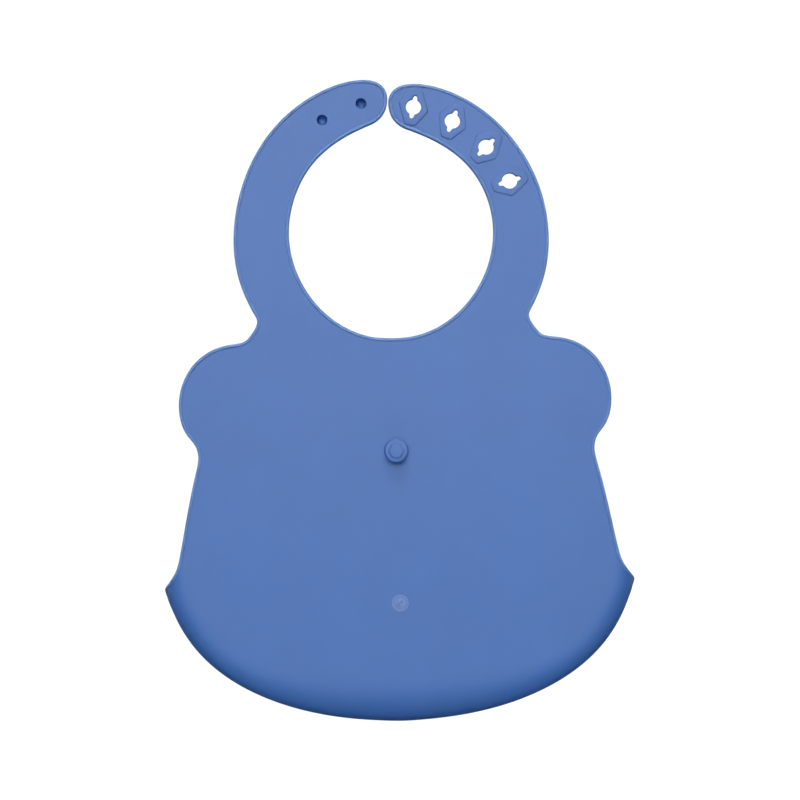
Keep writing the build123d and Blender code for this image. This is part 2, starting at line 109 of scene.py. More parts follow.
# ------------------------------------------------------------------- curves
def spline(points, step):
    """Natural cubic spline through points, resampled at about one step."""
    p = np.array(points, float)
    t = np.r_[0, np.cumsum(np.hypot(*np.diff(p, axis=0).T))]
    n = len(p)
    h = np.diff(t)
    a = np.zeros((n, n))
    b = np.zeros((n, 2))
    a[0, 0] = a[-1, -1] = 1.0
    for i in range(1, n - 1):
        a[i, i - 1], a[i, i], a[i, i + 1] = h[i - 1], 2 * (h[i - 1] + h[i]), h[i]
        b[i] = 6 * ((p[i + 1] - p[i]) / h[i] - (p[i] - p[i - 1]) / h[i - 1])
    m = np.linalg.solve(a, b)
    s = np.linspace(0, t[-1], int(t[-1] / 0.1) + 2)
    k = np.clip(np.searchsorted(t, s, side="right") - 1, 0, n - 2)
    u, v, w = (s - t[k])[:, None], (t[k + 1] - s)[:, None], h[k][:, None]
    q = (m[k] * v ** 3 + m[k + 1] * u ** 3) / (6 * w) + (p[k] / w - m[k] * w / 6) * v + (p[k + 1] / w - m[k + 1] * w / 6) * u
    return resample(q, step)


def resample(q, step=None, count=None):
    d = np.r_[0, np.cumsum(np.linalg.norm(np.diff(q, axis=0), axis=1))]
    n = count or max(2, int(round(d[-1] / step)) + 1)
    s = np.linspace(0, d[-1], n)
    return np.stack([np.interp(s, d, q[:, k]) for k in range(q.shape[1])], axis=1)


def tangents(q):
    t = np.gradient(q, axis=0)
    return t / np.maximum(np.linalg.norm(t, axis=1), 1e-9)[:, None]


def left_normals(q):
    t = tangents(q)
    return np.stack([-t[:, 1], t[:, 0]], axis=1)


def cut_where(q, f):
    """Polyline q with a point put in wherever f changes sign; returns (q, indices of those points)."""
    val = f(q)
    out, marks = [q[0]], []
    for i in range(len(q) - 1):
        if val[i] * val[i + 1] < 0:
            s = val[i] / (val[i] - val[i + 1])
            out.append(q[i] + (q[i + 1] - q[i]) * s)
            marks.append(len(out) - 1)
        out.append(q[i + 1])
    return np.array(out), marks


def between(q, f, g=None, last=False):
    """The stretch of q from where f is zero to where g is zero (or to the end)."""
    q1, m1 = cut_where(q, f)
    a = q1[m1[-1] if last else m1[0]]
    i = m1[-1] if last else m1[0]
    q2 = q1[i:]
    if g is None:
        return q2
    q3, m3 = cut_where(q2, g)
    return q3[:m3[0] + 1]


def straight(a, b, step=1.6):
    n = max(2, int(round(np.linalg.norm(np.array(b) - np.array(a)) / step)) + 1)
    return np.array([np.array(a) + (np.array(b) - np.array(a)) * k / (n - 1) for k in range(n)])


def join(*lines):
    out = [lines[0]]
    for q in lines[1:]:
        out.append(q[1:] if np.linalg.norm(q[0] - out[-1][-1]) < 1e-6 else q)
    loop = np.concatenate(out)
    if np.linalg.norm(loop[0] - loop[-1]) < 1e-6:
        loop = loop[:-1]
    return loop


def forward(q):
    """The line without the points where it doubles back on itself."""
    step = np.diff(q, axis=0)
    back = np.concatenate([[False], (step[1:] * step[:-1]).sum(1) < 0, [False]])
    back[1:] &= ~back[:-1]
    return q[~back]


def mirrored(q):
    return q[::-1] * np.array([-1.0, 1.0])


def inside(poly, pts):
    x, y = pts[:, 0], pts[:, 1]
    hit = np.zeros(len(pts), bool)
    px, py = poly[:, 0], poly[:, 1]
    qx, qy = np.roll(px, -1), np.roll(py, -1)
    for a, b, c, d in zip(px, py, qx, qy):
        if b == d:
            continue
        cross = ((b > y) != (d > y)) & (x < (c - a) * (y - b) / (d - b) + a)
        hit ^= cross
    return hit


def far_from(loop, pts, gap):
    keep = np.ones(len(pts), bool)
    a, b = loop, np.roll(loop, -1, axis=0)
    for i in range(len(loop)):
        ab = b[i] - a[i]
        t = np.clip(((pts - a[i]) @ ab) / max(ab @ ab, 1e-12), 0, 1)
        keep &= np.linalg.norm(pts - (a[i] + t[:, None] * ab), axis=1) > gap
    return keep


# ------------------------------------------------------------------- meshes
def new_object(name, verts_mm, faces, material, sharp=None):
    mesh = bpy.data.meshes.new(name)
    mesh.from_pydata([tuple(v * MM for v in p) for p in verts_mm], [], [tuple(int(i) for i in f) for f in faces])
    mesh.validate()
    mesh.update()
    for p in mesh.polygons:
        p.use_smooth = True
    obj = bpy.data.objects.new(name, mesh)
    bpy.context.scene.collection.objects.link(obj)
    obj.data.materials.append(material)
    if sharp is not None:
        mesh.set_sharp_from_angle(angle=math.radians(sharp))
    return obj


def triangles(loops, points):
    """Delaunay triangles inside the first loop and outside the others."""
    coords, edges = [], []
    for loop in loops:
        k = len(coords)
        coords += [Vector((float(x), float(y))) for x, y in loop]
        edges += [(k + i, k + (i + 1) % len(loop)) for i in range(len(loop))]
    coords += [Vector((float(x), float(y))) for x, y in points]
    v, _, f, ov, _, _ = delaunay_2d_cdt(coords, edges, [], 1, 1e-6)
    v = np.array([[p.x, p.y] for p in v])
    where = {}
    for new, olds in enumerate(ov):
        for o in olds:
            where[o] = new
    f = np.array([list(t) for t in f], int)
    mid = v[f].mean(axis=1)
    keep = inside(np.array(loops[0]), mid)
    for hole in loops[1:]:
        keep &= ~inside(np.array(hole), mid)
    return v, f[keep], [where[i] for i in range(len(coords))]


def grow(loop, amount):
    """Offset of a closed anticlockwise loop, outwards for a positive amount."""
    t = np.roll(loop, -1, axis=0) - np.roll(loop, 1, axis=0)
    t /= np.linalg.norm(t, axis=1)[:, None]
    return loop + amount * np.stack([t[:, 1], -t[:, 0]], axis=1)


def anticlockwise(loop):
    x, y = loop[:, 0], loop[:, 1]
    area = np.sum(x * np.roll(y, -1) - y * np.roll(x, -1))
    return loop if area > 0 else loop[::-1]


def plate(name, loop, holes, material, rows=None, grid=7.0, y_lo=-HALF, y_hi=HALF, rounding=0.35,
          outer_round=0.0):
    """A flat plate in X and Z with rounded holes, both faces and every wall."""
    loop = anticlockwise(np.array(loop))
    holes = [anticlockwise(np.array(h)) for h in holes]
    lo, hi = loop.min(0), loop.max(0)
    gx, gz = np.meshgrid(np.arange(lo[0], hi[0], grid), np.arange(lo[1], hi[1], grid))
    pts = np.stack([gx.ravel(), gz.ravel()], axis=1)
    if rows is not None:
        pts = np.concatenate([pts, rows])
    top_outer = grow(loop, -outer_round) if outer_round else loop
    flat_holes = [grow(h, rounding + 0.2) for h in holes]
    keep = inside(top_outer, pts) & far_from(top_outer, pts, 0.7)
    for h in flat_holes:
        keep &= ~inside(h, pts) & far_from(h, pts, 0.7)
    pts = pts[keep]
    v, f, idx = triangles([top_outer] + flat_holes, pts)
    verts, faces = [], []
    n = len(v)
    for y in (y_hi, y_lo):
        verts += [(p[0], y, p[1]) for p in v]
    faces += [(t[0], t[2], t[1]) for t in f]                 # back face, normal +Y
    faces += [(n + t[0], n + t[1], n + t[2]) for t in f]     # front face, normal -Y

    def strip(upper, lower, outward):
        m = len(upper)
        for i in range(m):
            j = (i + 1) % m
            q = (upper[i], upper[j], lower[j], lower[i])
            faces.append(q if outward else q[::-1])

    k = 0
    rim_idx = [idx[k + i] for i in range(len(top_outer))]
    k += len(top_outer)
    if outer_round:
        prev = rim_idx
        for a in (22.5, 45, 67.5, 90):
            ring = grow(loop, -outer_round * (1 - math.sin(math.radians(a))))
            base = len(verts)
            verts += [(p[0], y_hi - outer_round * (1 - math.cos(math.radians(a))), p[1]) for p in ring]
            cur = list(range(base, base + len(ring)))
            strip(prev, cur, True)
            prev = cur
        base = len(verts)
        verts += [(p[0], y_lo + 0.0, p[1]) for p in loop]
        cur = list(range(base, base + len(loop)))
        strip(prev, cur, True)
        strip(cur, [n + i for i in rim_idx], True)
    else:
        strip(rim_idx, [n + i for i in rim_idx], True)
    for h in holes:
        flat_idx = [idx[k + i] for i in range(len(h))]
        k += len(h)
        prev = flat_idx
        steps = [(rounding, 0.0)] + [(rounding * (1 - math.sin(math.radians(a))), rounding * (1 - math.cos(math.radians(a)))) for a in (22.5, 45, 67.5, 90)]
        levels = [(o, y_hi - d) for o, d in steps] + [(o, y_lo + d) for o, d in steps[::-1]]
        for o, y in levels:
            ring = grow(h, o)
            base = len(verts)
            verts += [(p[0], y, p[1]) for p in ring]
            cur = list(range(base, base + len(ring)))
            strip(prev, cur, False)
            prev = cur
        strip(prev, [n + i for i in flat_idx], False)
    return new_object(name, verts, faces, material, sharp=50)


def tube(name, centre, out, normal, material, half_out=BEAD_W, half_normal=BEAD_T, n=18):
    """An oval bead along a line of 3-D points, closed at both ends."""
    verts, faces = [], []
    ang = [2 * math.pi * (k + 0.5) / n for k in range(n)]
    for c, o, m in zip(centre, out, normal):
        for a in ang:
            # rounder than an ellipse on the faces, so the bead reads as a half-round
            ca, sa = math.cos(a), math.sin(a)
            ca, sa = math.copysign(abs(ca) ** 0.8, ca), math.copysign(abs(sa) ** 0.8, sa)
            verts.append(tuple(c + o * half_out * ca + m * half_normal * sa))
    rings = len(centre)
    for r in range(rings - 1):
        for k in range(n):
            j = (k + 1) % n
            faces.append((r * n + k, r * n + j, (r + 1) * n + j, (r + 1) * n + k))
    faces.append(tuple(range(n))[::-1])
    faces.append(tuple((rings - 1) * n + k for k in range(n)))
    obj = new_object(name, verts, faces, material, sharp=60)
    mesh = obj.data
    import bmesh
    bm = bmesh.new()
    bm.from_mesh(mesh)
    bmesh.ops.recalc_face_normals(bm, faces=bm.faces)
    bm.to_mesh(mesh)
    bm.free()
    mesh.set_sharp_from_angle(angle=math.radians(60))
    return obj


def flat_bead(name, edge, material):
    """Bead along a flat edge; edge is the outline, sheet on its right-hand side."""
    out2 = left_normals(edge)
    c2 = edge - out2 * BEAD_IN
    c = np.stack([c2[:, 0], np.zeros(len(c2)), c2[:, 1]], axis=1)
    o = np.stack([out2[:, 0], np.zeros(len(c2)), out2[:, 1]], axis=1)
    m = np.tile([0.0, 1.0, 0.0], (len(c2), 1))
    # every flat bead is drawn in the lighter bead material, a painted highlight along the edge
    return tube(name, c, o, m, PAINTED_EDGE_HIGHLIGHT)


# ---------------------------------------------------------------- materials
def silicone(name, base, rough=0.58, mottle=0.035, bump=0.05):
    mat = bpy.data.materials.new(name)
    mat.use_nodes = True
    nt = mat.node_tree
    b = nt.nodes["Principled BSDF"]
    b.inputs["Roughness"].default_value = rough
    b.inputs["Specular IOR Level"].default_value = 0.74
    b.inputs["Sheen Weight"].default_value = 0.0
    b.inputs["Subsurface Weight"].default_value = 0.25
    b.inputs["Subsurface Scale"].default_value = 0.0028
    b.inputs["Subsurface Radius"].default_value = (0.15, 0.5, 1.0)
    b.inputs["Sheen Roughness"].default_value = 0.45
    tex = nt.nodes.new("ShaderNodeTexCoord")
    cloud = nt.nodes.new("ShaderNodeTexNoise")
    cloud.inputs["Scale"].default_value = 26.0
    cloud.inputs["Detail"].default_value = 5.0
    cloud.inputs["Roughness"].default_value = 0.6
    nt.links.new(tex.outputs["Object"], cloud.inputs["Vector"])
    ramp = nt.nodes.new("ShaderNodeValToRGB")
    lo = [c * (1 - mottle) for c in base]
    hi = [min(1.0, c * (1 + mottle)) for c in base]
    ramp.color_ramp.elements[0].position = 0.32
    ramp.color_ramp.elements[0].color = (*lo, 1)
    ramp.color_ramp.elements[1].position = 0.68
    ramp.color_ramp.elements[1].color = (*hi, 1)
    nt.links.new(cloud.outputs["Fac"], ramp.inputs["Fac"])
    nt.links.new(ramp.outputs["Color"], b.inputs["Base Color"])
    grain = nt.nodes.new("ShaderNodeTexNoise")
    grain.inputs["Scale"].default_value = 1500.0
    grain.inputs["Detail"].default_value = 2.0
    nt.links.new(tex.outputs["Object"], grain.inputs["Vector"])
    bmp = nt.nodes.new("ShaderNodeBump")
    bmp.inputs["Strength"].default_value = bump
    bmp.inputs["Distance"].default_value = 0.0002
    nt.links.new(grain.outputs["Fac"], bmp.inputs["Height"])
    nt.links.new(bmp.outputs["Normal"], b.inputs["Normal"])
    return mat


def lin(r, g, b):
    return tuple(((c / 255) / 12.92 if c <= 10 else ((c / 255 + 0.055) / 1.055) ** 2.4) for c in (r, g, b))


BLUE = silicone("silicone_blue", lin(56, 101, 168))
# bead material: the body silicone made lighter, a painted highlight for the light the rounded edges catch
PAINTED_EDGE_HIGHLIGHT = silicone("silicone_bead_painted_highlight", lin(82, 122, 182), rough=0.5)
DIALM = silicone("silicone_dial", lin(108, 132, 190), rough=0.7, mottle=0.02)
MARK = silicone("silicone_dial_marks", lin(58, 98, 168), rough=0.6, mottle=0.02)
POINTER = silicone("silicone_dial_pointer", lin(26, 66, 138), rough=0.6, mottle=0.02)

# ------------------------------------------------------------ outline pieces
STEP = 1.1
edge = spline(STRAP_AND_SIDE + POCKET_RIM[1:6], STEP)          # from the neck side of the tip, round and down
neck = spline(NECK, STEP)                                      # from the tip, down to the centre
# the sheet lies on the right-hand side of edge's direction of travel; the neck
# curve travels down the inner side, with the sheet on its left
edge_in = edge - left_normals(edge) * PLATE_IN
neck_in = neck + left_normals(neck) * PLATE_IN
corner = (edge_in[0] + neck_in[0]) / 2
edge_in[0] = corner
neck_in[0] = corner
neck_in[-1, 0] = 0.0

chord = np.array(LOBE_OUT) - np.array(LOBE_IN)
chord = chord / np.linalg.norm(chord)
chord_n = np.array([-chord[1], chord[0]])


def at_z(z):
    return lambda q: q[:, 1] - z


def on_mid(shift):
    d = np.array([-math.sin(MID), math.cos(MID)])
    return lambda q: q @ d - shift


def on_chord(q):
    far = (q[:, 1] > -44) | (q[:, 1] < -118)
    val = (q - np.array(LOBE_IN)) @ chord_n
    return np.where(far, -1.0, val)


def stretches(e, nk):
    """The outline cut at every seam: +X side."""
    e_tip = cut_where(e, on_mid(-MID_BAND / 2 - 0.2))
    tip_outer = e_tip[0][:e_tip[1][-1] + 1]
    rest = e_tip[0][e_tip[1][-1]:]
    low_outer = cut_where(rest, at_z(ROOT_SEAM))
    low, rest = low_outer[0][:low_outer[1][0] + 1], low_outer[0][low_outer[1][0]:]
    c = cut_where(rest, on_chord)
    side_1, rest1 = c[0][:c[1][0] + 1], c[0][c[1][0]:]
    lobe_edge, rest2 = rest1[:c[1][1] - c[1][0] + 1], rest1[c[1][1] - c[1][0]:]
    w = cut_where(rest2, at_z(WAIST_SEAM))
    side_2, below = w[0][:w[1][0] + 1], w[0][w[1][0]:]
    n_tip = cut_where(nk, on_mid(-MID_BAND / 2 - 0.2))
    neck_tip, rest = n_tip[0][:n_tip[1][-1] + 1], n_tip[0][n_tip[1][-1]:]
    n_low = cut_where(rest, at_z(ROOT_SEAM))
    neck_low, neck_chest = n_low[0][:n_low[1][0] + 1], n_low[0][n_low[1][0]:]
    return dict(tip=tip_outer, low=low, side_1=side_1, lobe=lobe_edge, side_2=side_2, below=below,
                neck_tip=neck_tip, neck_low=neck_low, neck_chest=neck_chest)


P = stretches(edge_in, neck_in)     # where the sheet's plates end
B = stretches(edge, neck)           # the real edge, for the beads

# ----------------------------------------------------------- pocket geometry
INSET = HALF
ROLL_POWER = 2.6


def table(rows, at):
    rows = sorted(rows)
    return float(np.interp(at, [r[0] for r in rows], [r[1] for r in rows]))


def roll(foot_x):
    t = np.clip(abs(foot_x) / 100.0, 0, 1)
    t = t * t * (3 - 2 * t)
    return ROLL_BOTTOM + (ROLL_SIDE - ROLL_BOTTOM) * t - INSET


rim = spline(POCKET_ABOVE + POCKET_RIM + [(-x, z) for x, z in POCKET_RIM[-2:-6:-1]], 0.1)
rim = rim[rim[:, 0] > 0.02]
rim = resample(np.concatenate([rim, [[0.0, POCKET_RIM[-1][1]]]]), 0.5)
rim_full = np.concatenate([rim, mirrored(rim)[1:]])
rim_n = -left_normals(rim_full)                      # inwards
rim_n[len(rim) - 1] = (0.0, 1.0)
rim_mid = rim_full + rim_n * INSET
cusp_i = int(np.argmin(np.linalg.norm(rim - np.array(POCKET_RIM[0]), axis=1)))


def half_width(z):
    r = rim_mid[:len(rim)]
    return float(np.interp(-z, -r[:, 1], r[:, 0]))


def front_y(x, z, edge_y):
    w = max(half_width(z), 1e-3)
    deep = -(table(FRONT, z) - INSET)
    f = math.sqrt(max(0.0, 1 - min(1.0, abs(x / w)) ** 2.4))
    return edge_y + (deep - edge_y) * f


def mouth_z(y):
    return float(np.interp(-y, [-m[0] for m in MOUTH], [m[1] for m in MOUTH]))


# lip line, by x, from the cusp to the centre
lip = []
for x in np.linspace(POCKET_RIM[0][0] - INSET, 0, 220):
    z = -170.0
    for _ in range(12):
        e_y = -roll(half_width(z))
        z = 0.5 * z + 0.5 * mouth_z(front_y(x, z, e_y))
    lip.append((x, front_y(x, z, -roll(half_width(z))), z))
lip = np.array(lip)
lip_d = np.r_[0, np.cumsum(np.linalg.norm(np.diff(lip, axis=0), axis=1))]
rim_half = rim_mid[cusp_i:len(rim)]
rim_d = np.r_[0, np.cumsum(np.linalg.norm(np.diff(rim_half, axis=0), axis=1))]
flare = spline(STRAP_AND_SIDE, 0.4)
flare = flare[flare[:, 1] < -138]


def pocket_path(i):
    """The sheet's middle line from the flat back, round the roll, to the free edge."""
    q, m = rim_mid[i], rim_n[i].copy()
    r = float(roll(rim_full[i][0]))
    pts = [q + m * (r + 2.0), q + m * (r + 1.0)]
    line = [(p[0], 0.0, p[1]) for p in pts]
    for a in np.linspace(0, math.pi / 2, 60):
        p = q + m * r * (1 - math.sin(a) ** (2 / ROLL_POWER))
        line.append((p[0], -r * (1 - abs(math.cos(a)) ** (2 / ROLL_POWER)), p[1]))
    line = np.array(line)
    if i <= cusp_i:
        # stop where the line crosses the silhouette of the flare
        flat2 = line[:, [0, 2]]
        fx = np.interp(-flat2[:, 1], -flare[:, 1], flare[:, 0])
        side = flat2[:, 0] - fx
        over = np.where(side > 0)[0]
        if len(over) and over[0] > 0:
            k = over[0]
            s = side[k - 1] / (side[k - 1] - side[k])
            end = line[k - 1] + (line[k] - line[k - 1]) * s
            return np.concatenate([line[:k], [end]])
        if len(over):
            return line[:1]
        return line
    frac = rim_d[min(i - cusp_i, len(rim_d) - 1)] / rim_d[-1]
    b = np.array([np.interp(frac * lip_d[-1], lip_d, lip[:, k]) for k in range(3)])
    a3 = line[-1]
    front = []
    for tau in np.linspace(0, 1, 46)[1:]:
        g = tau * tau * 0.75 + tau * 0.25
        x = a3[0] + (b[0] - a3[0]) * g
        z = a3[2] + (b[2] - a3[2]) * g
        front.append((x, front_y(x, z, a3[1] + (-(roll(half_width(z))) - a3[1]) * g), z))
    front = np.array(front)
    front[-1] = b
    return np.concatenate([line, front])


paths = []
half_count = len(rim)
first = None
for i in range(0, half_count):
    p = pocket_path(i)
    if len(p) < 2:
        continue
    if first is None:
        first = i
    paths.append(p)
lengths = [np.linalg.norm(np.diff(p, axis=0), axis=1).sum() for p in paths]
ROWS = 64
cols = [resample(p, count=ROWS) for p in paths]
seam_left = np.array([c[0][[0, 2]] for c in cols])            # on the flat back, +X half
# meet the plate's own edge at the top end
E0 = seam_left[0]
full = cols + [c * np.array([-1.0, 1.0, 1.0]) for c in cols[::-1][1:]]
G = np.array(full)                                            # columns x rows x 3
# even spacing of the columns along the rim
mid_line = G[:, ROWS // 2]
d = np.r_[0, np.cumsum(np.linalg.norm(np.diff(mid_line, axis=0), axis=1))]
n_cols = 330
s = np.linspace(0, d[-1], n_cols)
G = np.stack([np.stack([np.interp(s, d, G[:, r, k]) for k in range(3)], axis=1) for r in range(ROWS)], axis=1)
# light smoothing of the columns, seam row kept flat
for _ in range(6):
    H = G.copy()
    H[1:-1, 1:] = 0.5 * G[1:-1, 1:] + 0.25 * (G[:-2, 1:] + G[2:, 1:])
    H[:, 2:-1] = 0.5 * H[:, 2:-1] + 0.25 * (H[:, 1:-2] + H[:, 3:])
    G = H
G[:, 0, 1] = 0.0
print("pocket columns", len(cols), "first", rim_full[first], "seam start", E0, "min length", min(lengths))


def grid_normals(g):
    du = np.gradient(g, axis=0)
    dv = np.gradient(g, axis=1)
    n = np.cross(du, dv)
    ln = np.linalg.norm(n, axis=2)
    n = n / np.maximum(ln, 1e-9)[:, :, None]
    return n, ln


N, ln = grid_normals(G)
if N[len(N) // 2, 0, 1] < 0:
    N = -N
for r in range(ROWS):
    for c in (0, 1):
        N[c, r] = N[2, r]
        N[-1 - c, r] = N[-3, r]
N[:, 0] = (0, 1, 0)

# pocket shell: trimmed a little at the free edge, where the bead takes over
free = G[:, -1]
edge_dir = tangents(free)
edge_out = np.cross(edge_dir, N[:, -1])
ahead = G[:, -1] - G[:, -2]
flip = np.sign(np.sum(edge_out * ahead, axis=1))
flip[flip == 0] = 1
if np.median(flip) < 0:
    edge_out = -edge_out
edge_out /= np.linalg.norm(edge_out, axis=1)[:, None]
Gt = G.copy()
for c in range(n_cols):
    q = G[c]
    dd = np.r_[0, np.cumsum(np.linalg.norm(np.diff(q, axis=0), axis=1))]
    keep = max(dd[-1] - PLATE_IN, 0.02 * dd[-1])
    t = np.linspace(0, keep, ROWS)
    Gt[c] = np.stack([np.interp(t, dd, q[:, k]) for k in range(3)], axis=1)
verts, faces = [], []
for sgn in (1, -1):
    for c in range(n_cols):
        for r in range(ROWS):
            verts.append(tuple(Gt[c, r] + N[c, r] * HALF * sgn))
M = n_cols * ROWS


def vi(side, c, r):
    return side * M + c * ROWS + r


for c in range(n_cols - 1):
    for r in range(ROWS - 1):
        q = (vi(0, c, r), vi(0, c + 1, r), vi(0, c + 1, r + 1), vi(0, c, r + 1))
        faces.append(q)
        faces.append(tuple(k + M for k in q[::-1]))
for c in range(n_cols - 1):
    faces.append((vi(0, c, 0), vi(1, c, 0), vi(1, c + 1, 0), vi(0, c + 1, 0)))
    faces.append((vi(0, c, ROWS - 1), vi(0, c + 1, ROWS - 1), vi(1, c + 1, ROWS - 1), vi(1, c, ROWS - 1)))
for r in range(ROWS - 1):
    faces.append((vi(0, 0, r), vi(0, 0, r + 1), vi(1, 0, r + 1), vi(1, 0, r)))
    faces.append((vi(0, n_cols - 1, r), vi(1, n_cols - 1, r), vi(1, n_cols - 1, r + 1), vi(0, n_cols - 1, r + 1)))
pocket = new_object("pocket_shell", verts, faces, BLUE)
import bmesh
bm = bmesh.new()
bm.from_mesh(pocket.data)
bmesh.ops.remove_doubles(bm, verts=bm.verts, dist=2e-6)
bmesh.ops.recalc_face_normals(bm, faces=bm.faces)
bm.to_mesh(pocket.data)
bm.free()
pocket.data.set_sharp_from_angle(angle=math.radians(50))
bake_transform(pocket)
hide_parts("pocket_roll", "pocket_front", "pocket_left_end", "pocket_right_end", "pocket_lip", "pocket_lip_flex")
seam = G[:, 0][:, [0, 2]]

# the pocket's free-edge bead takes the same lighter material, a painted highlight
pocket_bead = tube("pocket_bead", free - edge_out * BEAD_IN, edge_out, N[:, -1], PAINTED_EDGE_HIGHLIGHT)
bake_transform(pocket_bead)

# --------------------------------------------------------------- flat plates
def rows_z(x0, x1, z0, z1, across=2.5, along=0.9):
    gx, gz = np.meshgrid(np.arange(x0, x1, across), np.arange(z0, z1, along))
    return np.stack([gx.ravel(), gz.ravel()], axis=1)


root_line = straight(P["neck_chest"][0], P["low"][-1])          # inner to outer at the root seam
mid_line2 = straight(P["neck_low"][0], P["tip"][-1])            # inner to outer at the mid seam
chord_line = straight(P["lobe"][0], P["lobe"][-1])              # upper to lower
waist_r = P["side_2"][-1]
waist_line = straight(waist_r, waist_r * np.array([-1.0, 1.0]), 2.5)

chest_half = join(P["side_1"], chord_line, P["side_2"])
neck_half = P["neck_chest"]
chest_loop = join(chest_half, waist_line, mirrored(chest_half),
                  (root_line * np.array([-1.0, 1.0]))[::-1],
                  neck_half * np.array([-1.0, 1.0]), neck_half[::-1], root_line)
chest = plate("chest_sheet", chest_loop, [], BLUE)
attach(chest, "chest")
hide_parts("chest_panel")

lower_side = cut_where(P["below"], lambda q: q[:, 1] - seam[0][1])
lower_side = lower_side[0][:lower_side[1][0] + 1]
lower_loop = join(lower_side, forward(seam), mirrored(lower_side), waist_line[::-1])
lower = plate("lower_sheet", lower_loop, [], BLUE, rows=rows_z(-104, 104, -143.5, -132.6, 3.0, 1.0))
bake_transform(lower)
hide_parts("lower_panel", "waist_flex")


def circle(x, z, r, n=48):
    return np.array([(x + r * math.cos(2 * math.pi * k / n), z + r * math.sin(2 * math.pi * k / n)) for k in range(n)])


def keyhole(x, z, tilt):
    n = 240
    a = np.arange(n) * 2 * math.pi / n
    phi = np.abs((a + math.pi / 2) % math.pi - math.pi / 2)
    phi = np.maximum(phi, 1e-5)
    side = KEY_NOTCH / np.sin(phi)
    reach = KEY_TIP - KEY_NOTCH
    end = reach * np.cos(phi) + np.sqrt(np.maximum(KEY_NOTCH ** 2 - (reach * np.sin(phi)) ** 2, 0))
    notch = np.where(side * np.cos(phi) < reach, side, end)
    r = np.maximum(KEY_R, np.where(phi < 0.9, notch, 0))
    w = np.exp(-0.5 * (np.arange(-9, 10) / 1.9) ** 2)
    w /= w.sum()
    r = sum(wk * np.roll(r, k - 9) for k, wk in enumerate(w))
    t = math.radians(tilt)
    u, v = r * np.sin(a), r * np.cos(a)               # v along the notch axis
    return resample_loop(np.stack([x + u * math.cos(t) - v * math.sin(t), z + u * math.sin(t) + v * math.cos(t)], axis=1), 96)


def resample_loop(q, n):
    return resample(np.concatenate([q, q[:1]]), count=n + 1)[:-1]


def hang(q, side):
    """One strap's outline, a little raised (studs) or lowered (keyholes) towards its tip."""
    t = np.clip((q[:, 1] - 1.0) / 50.0, 0, 1)
    lift = (1.5 if side > 0 else -0.95) * t * t * (3 - 2 * t)
    return np.stack([q[:, 0] * side, q[:, 1] + lift], axis=1)


def strap(side, prefix, low_holes, tip_holes):
    f = np.array([side, 1.0])
    lower_loop_ = hang(join(P["low"], root_line[::-1], P["neck_low"][::-1], mid_line2), side)
    gx = rows_z(44, 78, -9.4, -0.6, 2.5, 0.9) * f
    a = plate(prefix + "_lower_sheet", lower_loop_, low_holes, BLUE, rows=gx)
    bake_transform(a)
    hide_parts(prefix + "_flex", prefix + "_lower")
    tip_loop = hang(join(P["tip"], mid_line2[::-1], P["neck_tip"][::-1]), side)
    e = np.array([math.cos(MID), math.sin(MID)])
    d_ = np.array([-math.sin(MID), math.cos(MID)])
    rows = np.array([e * r + d_ * sft for r in np.arange(46, 78, 2.2) for sft in np.arange(-1.8, 2.4, 0.6)]) * f
    b = plate(prefix + "_tip_sheet", tip_loop, tip_holes, BLUE, rows=rows)
    st, en = (e * 60 - d_ * MID_BAND / 2) * f, (e * 60 + d_ * MID_BAND / 2) * f
    st, en = (st[0] * MM, 0, st[1] * MM), (en[0] * MM, 0, en[1] * MM)
    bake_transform(b)
    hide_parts(prefix + "_mid_flex", prefix + "_tip")

    def bead(name, line, sheet_left):
        q = hang(line, side)
        if (side < 0) != sheet_left:
            q = q[::-1]
        return flat_bead(name, q, BLUE)

    for nm, line, left in (("_lower_outer_bead", B["low"], False), ("_lower_inner_bead", B["neck_low"], True)):
        o = bead(prefix + nm, line, left)
        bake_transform(o)
    q = hang(join(B["neck_tip"][::-1], B["tip"]), side)
    if side < 0:
        q = q[::-1]
    o = flat_bead(prefix + "_tip_bead", q, BLUE)
    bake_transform(o)


strap(1, "stud_strap", [], [circle(x, z, 2.4) for x, z in STUDS])
strap(-1, "keyhole_strap",
      [keyhole(*KEYHOLES[2]), keyhole(*KEYHOLES[3])], [keyhole(*KEYHOLES[0]), keyhole(*KEYHOLES[1])])

for side, name in ((1, "left_lobe"), (-1, "right_lobe")):
    f = np.array([side, 1.0])
    loop = join(P["lobe"], chord_line[::-1]) * f
    rows = np.array([np.array(LOBE_IN) + chord * a + chord_n * b for a in np.arange(-2, 62, 2.5) for b in np.arange(0.8, 6.0, 0.8)]) * f
    o = plate(name + "_sheet", loop, [], BLUE, rows=rows)
    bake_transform(o)
    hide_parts(name, name + "_flex")
    q = B["lobe"] * f
    if side < 0:
        q = q[::-1]
    b = flat_bead(name + "_bead", q, BLUE)
    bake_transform(b)

for side, tag in ((1, "left"), (-1, "right")):
    f = np.array([side, 1.0])
    for nm, line in (("upper", B["side_1"]), ("lower", B["side_2"])):
        q = line * f
        if side < 0:
            q = q[::-1]
        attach(flat_bead("side_%s_%s_bead" % (nm, tag), q, BLUE), "chest")
    below = cut_where(B["below"], lambda q_: q_[:, 1] - free[0][2])
    q = below[0][:below[1][0] + 1] * f
    if side < 0:
        q = q[::-1]
    o = flat_bead("waist_%s_bead" % tag, q, BLUE)
    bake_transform(o)
neck_line = join(B["neck_chest"] * np.array([-1.0, 1.0]), B["neck_chest"][::-1])
neck_line = np.concatenate([B["neck_chest"] * np.array([-1.0, 1.0]), B["neck_chest"][::-1][1:]])
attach(flat_bead("neck_bead", neck_line, BLUE), "chest")


